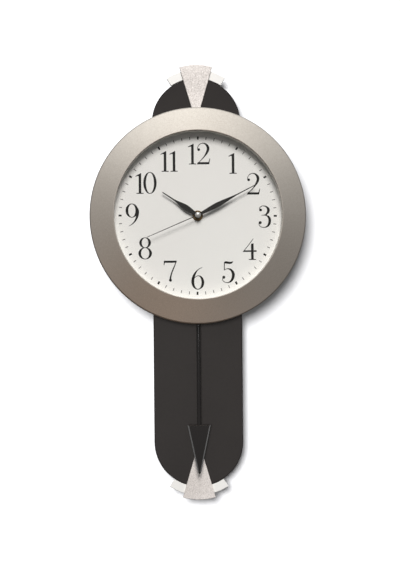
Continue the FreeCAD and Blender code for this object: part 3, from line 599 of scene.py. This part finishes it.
# lamps: watts, diameter, place from the centre of the dial, colour, what they light
lamps = {
    "keyLamp": (365.0, 3.00, (-0.10, -4.75, 3.70), (1, 0.985, 0.965), "EXCLUDE", ["stage_wall", "backboard"]),
    "boardLamp": (86.0, 1.30, (-0.40, -3.40, 0.00), (1, 0.98, 0.95), "INCLUDE", ["backboard"]),
    "wallLamp": (330.0, 1.70, (-0.85, -3.60, 0.55), (1, 1, 1), "INCLUDE", ["stage_wall"]),
    "warmBounce": (19.0, 2.60, (-0.90, -2.60, -2.20), (1, 0.62, 0.38), "INCLUDE", ["bezel"]),
    "topLamp": (1.0, 0.40, (0.00, -0.02, 1.40), (1, 0.97, 0.96), "INCLUDE", ["bezel"]),
    "bobLampLeft": (0.5, 0.40, (-1.40, -0.05, -0.62), (1, 1, 1), "INCLUDE", ["pendulum_bob"]),
    "bobLampRight": (0.5, 0.40, (1.40, -0.05, -0.62), (1, 1, 1), "INCLUDE", ["pendulum_bob"]),
    "bobLampFront": (2.4, 0.14, (0.12, -1.60, 0.00), (1, 1, 1), "INCLUDE", ["pendulum_bob", "pendulum_rod"]),
    "lowerLamp": (13.0, 1.20, (-0.60, -3.00, -1.60), (1, 1, 1), "INCLUDE",
                ["lower_finial_arc", "lower_finial_wedge"]),
    "backLamp": (24.0, 1.20, (0.40, 1.80, 0.90), (1, 1, 1), "EXCLUDE", ["stage_wall"]),
}


def plainPlane(name, corners):
    mesh = bpy.data.meshes.new(name)
    mesh.from_pydata(corners, [], [(0, 1, 2, 3)])
    plane = bpy.data.objects.new(name, mesh)
    bpy.context.scene.collection.objects.link(plane)
    return plane


def wallMaterial(setup):
    # white where the light reaches it, with the clock's shadow; open when seen from behind
    material = bpy.data.materials.new("stageWall")
    material.use_nodes = True
    tree = material.node_tree
    tree.nodes.clear()
    link = tree.links.new
    out = addNode(tree, "ShaderNodeOutputMaterial")
    diffuse = addNode(tree, "ShaderNodeBsdfDiffuse", values={"Color": setup["wallWhite"]})
    glow = addNode(tree, "ShaderNodeEmission", values={"Strength": setup["wallGlow"]})
    both = addNode(tree, "ShaderNodeAddShader")
    clear = addNode(tree, "ShaderNodeBsdfTransparent")
    geometry = addNode(tree, "ShaderNodeNewGeometry")
    mix = addNode(tree, "ShaderNodeMixShader")
    link(diffuse.outputs[0], both.inputs[0])
    link(glow.outputs[0], both.inputs[1])
    link(geometry.outputs["Backfacing"], mix.inputs["Fac"])
    link(both.outputs[0], mix.inputs[1])
    link(clear.outputs[0], mix.inputs[2])
    link(mix.outputs[0], out.inputs["Surface"])
    return material


def floorMaterial(setup):
    material = bpy.data.materials.new("stageFloor")
    material.use_nodes = True
    tree = material.node_tree
    shader = tree.nodes["Principled BSDF"]
    shader.inputs["Roughness"].default_value = setup["floorRoughness"]
    noise = addNode(tree, "ShaderNodeTexNoise", values={"Scale": 3.0})
    mix = addNode(tree, "ShaderNodeMix", {"data_type": "RGBA"})
    mix.inputs["A"].default_value, mix.inputs["B"].default_value = setup["floorTones"]
    tree.links.new(noise.outputs["Fac"], mix.inputs["Factor"])
    tree.links.new(mix.outputs["Result"], shader.inputs["Base Color"])
    return material


def makeStage(setup):
    half = setup["wallSize"] / 2
    y = setup["wallGap"]
    low = boxAtLoad[0].z - setup["floorBelow"]
    top = low + setup["wallSize"]
    wall = plainPlane("stage_wall", [(-half, y, low), (half, y, low), (half, y, top), (-half, y, top)])
    wall.data.materials.append(wallMaterial(setup))
    wall.visible_diffuse = False
    wall.visible_glossy = False
    wall.visible_transmission = False
    wall.visible_shadow = False
    floor = plainPlane("stage_floor", [(-half, -half, low), (half, -half, low), (half, half, low),
                                       (-half, half, low)])
    floor.data.materials.append(floorMaterial(setup))
    floor.visible_glossy = False
    floor.visible_diffuse = False
    floor.visible_shadow = False


def makeWorld(setup):
    world = bpy.data.worlds.new("studioWorld")
    bpy.context.scene.world = world
    world.use_nodes = True
    tree = world.node_tree
    tree.nodes.clear()
    link = tree.links.new
    out = addNode(tree, "ShaderNodeOutputWorld")
    coords = addNode(tree, "ShaderNodeTexCoord")
    split = addNode(tree, "ShaderNodeSeparateXYZ")
    ramp = addNode(tree, "ShaderNodeValToRGB")
    span = addNode(tree, "ShaderNodeMapRange", values={"From Min": -1.0, "From Max": 1.0})
    soft = addNode(tree, "ShaderNodeBackground")
    white = addNode(tree, "ShaderNodeBackground", values={"Color": (1, 1, 1, 1)})
    path = addNode(tree, "ShaderNodeLightPath")
    mix = addNode(tree, "ShaderNodeMixShader")
    stops = ramp.color_ramp.elements
    stops.remove(stops[1])
    for i, (height, level) in enumerate(setup["world"]):
        stop = stops[0] if i == 0 else stops.new(height)
        stop.position = height
        stop.color = (level, level, level, 1)
    link(coords.outputs["Generated"], split.inputs[0])
    link(split.outputs["Z"], span.inputs["Value"])
    link(span.outputs["Result"], ramp.inputs["Fac"])
    link(ramp.outputs["Color"], soft.inputs["Color"])
    link(path.outputs["Is Camera Ray"], mix.inputs["Fac"])
    link(soft.outputs[0], mix.inputs[1])
    link(white.outputs[0], mix.inputs[2])
    link(mix.outputs[0], out.inputs["Surface"])


def makeLamp(name, lamp, aim):
    watts, size, place, color, state, names = lamp
    data = bpy.data.lights.new(name, "AREA")
    data.shape = "DISK"
    data.size = size
    data.energy = watts
    data.color = color
    light = bpy.data.objects.new(name, data)
    bpy.context.scene.collection.objects.link(light)
    light.location = hub + Vector(place)
    light.rotation_euler = (aim - light.location).to_track_quat("-Z", "Y").to_euler()
    # INCLUDE lights only the named objects, EXCLUDE lights everything else
    group = bpy.data.collections.new(name + "Objects")
    for thing in names:
        group.objects.link(nodes[thing] if thing in nodes else bpy.data.objects[thing])
    for entry in group.collection_objects:
        entry.light_linking.link_state = state
    light.light_linking.receiver_collection = group


def makeLamps(setup):
    aim = hub - Vector((0, 0, setup["aimBelow"]))
    for name, lamp in lamps.items():
        makeLamp(name, lamp, aim)


makeStage(stageSetup)
makeWorld(stageSetup)
makeLamps(stageSetup)
scene = bpy.context.scene
scene.view_settings.view_transform = "Standard"
print("stage: wall, floor and light")
